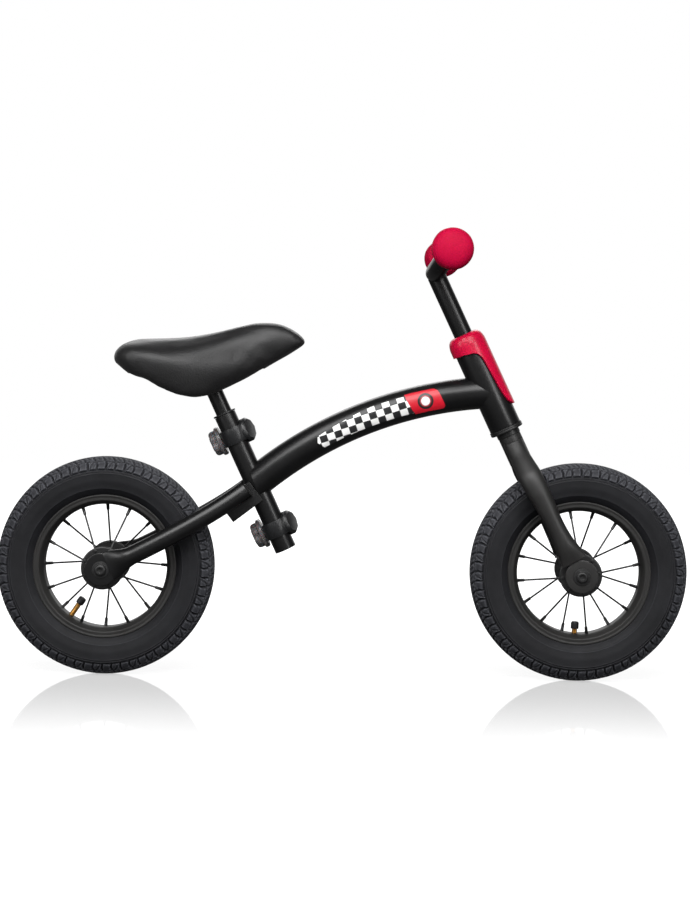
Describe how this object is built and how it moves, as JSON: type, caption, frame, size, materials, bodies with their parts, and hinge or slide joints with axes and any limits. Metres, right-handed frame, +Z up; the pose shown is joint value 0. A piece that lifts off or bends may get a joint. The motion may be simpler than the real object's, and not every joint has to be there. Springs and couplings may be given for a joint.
{
  "type": "balance bike",
  "caption": "Child's balance bike with curved main tube, two spoked air-tyre wheels, height-adjustable saddle and swept handlebar.",
  "frame": {"origin": "on the ground, midway between the two hubs, in the bike's middle plane", "axes": "+X towards the front wheel, +Y to the bike's left, +Z up"},
  "size_m": [0.812, 0.39, 0.5199],
  "materials": {
    "gloss_black_paint": "gloss",
    "matte_dark_grey_paint": "satin",
    "black_plastic": "satin",
    "black_steel": "satin",
    "bare_steel": "satin",
    "brass": "satin",
    "tyre_rubber": "matte",
    "tube_rubber": "matte",
    "crimson_plastic": "satin",
    "crimson_rubber": "matte",
    "grey_knob_plastic": "satin",
    "saddle_skin": "satin"
  },
  "bodies": {
    "frame": {"main_tube": "gloss_black_paint", "head_tube": "gloss_black_paint", "seat_tube": "gloss_black_paint", "stay_yoke": "gloss_black_paint", "rear_stay_left": "gloss_black_paint", "rear_stay_right": "gloss_black_paint", "head_tube_cover": "crimson_plastic", "upper_headset_cup": "black_steel", "lower_headset_cup": "black_steel", "upper_headset_bearing": "bare_steel", "lower_headset_bearing": "bare_steel", "seat_tube_bush": "black_plastic", "upper_clamp_collar": "black_plastic", "lower_clamp_collar": "black_plastic", "upper_clamp_bolt": "bare_steel", "lower_clamp_bolt": "bare_steel", "rear_axle": "bare_steel", "rear_axle_bolt_left": "black_steel", "rear_axle_bolt_right": "black_steel"},
    "steering": {"fork_steerer": "matte_dark_grey_paint", "crown_race": "black_steel", "fork_blade_left": "matte_dark_grey_paint", "fork_blade_right": "matte_dark_grey_paint", "handlebar_stem": "gloss_black_paint", "handlebar": "gloss_black_paint", "grip_left": "crimson_rubber", "grip_right": "crimson_rubber", "stem_clamp": "black_steel", "stem_clamp_bolt": "bare_steel", "front_axle": "bare_steel", "front_axle_bolt_left": "black_steel", "front_axle_bolt_right": "black_steel"},
    "front_wheel": {"front_tyre": "tyre_rubber", "front_inner_tube": "tube_rubber", "front_valve": "brass", "front_valve_cap": "black_plastic", "front_rim": "matte_dark_grey_paint", "front_hub_barrel": "black_steel", "front_spokes_left": "black_steel", "front_spokes_right": "black_steel", "front_bearing_left": "bare_steel", "front_bearing_right": "bare_steel"},
    "rear_wheel": {"rear_tyre": "tyre_rubber", "rear_inner_tube": "tube_rubber", "rear_valve": "brass", "rear_valve_cap": "black_plastic", "rear_rim": "matte_dark_grey_paint", "rear_hub_barrel": "black_steel", "rear_spokes_left": "black_steel", "rear_spokes_right": "black_steel", "rear_bearing_left": "bare_steel", "rear_bearing_right": "bare_steel"},
    "seat": {"seat_post": "gloss_black_paint", "saddle_base": "black_plastic", "saddle_pad": "saddle_skin", "saddle_bolt": "bare_steel"},
    "upper_knob": {"upper_clamp_knob": "grey_knob_plastic"},
    "lower_knob": {"lower_clamp_knob": "grey_knob_plastic"}
  },
  "joints": [
    {"name": "steer", "type": "hinge", "parent": "frame", "child": "steering", "pos_m": [0.27168, 0, 0.125], "axis": [-0.4289, 0, 0.9033], "range_deg": [-75, 75]},
    {"name": "front_wheel_spin", "type": "hinge", "parent": "steering", "child": "front_wheel", "pos_m": [0.278, 0, 0.128], "axis": [0, 1, 0], "continuous": true},
    {"name": "rear_wheel_spin", "type": "hinge", "parent": "frame", "child": "rear_wheel", "pos_m": [-0.278, 0, 0.128], "axis": [0, 1, 0], "continuous": true},
    {"name": "seat_height", "type": "slide", "parent": "frame", "child": "seat", "axis": [-0.4258, 0, 0.9048], "range_m": [-0.026, 0.065]},
    {"name": "upper_clamp_turn", "type": "hinge", "parent": "frame", "child": "upper_knob", "pos_m": [-0.14359, 0.0179, 0.27583], "axis": [-0.9048, 0, -0.4258], "range_deg": [0, 360]},
    {"name": "lower_clamp_turn", "type": "hinge", "parent": "frame", "child": "lower_knob", "pos_m": [-0.09254, 0.0179, 0.16734], "axis": [-0.9048, 0, -0.4258], "range_deg": [0, 360]}
  ]
}
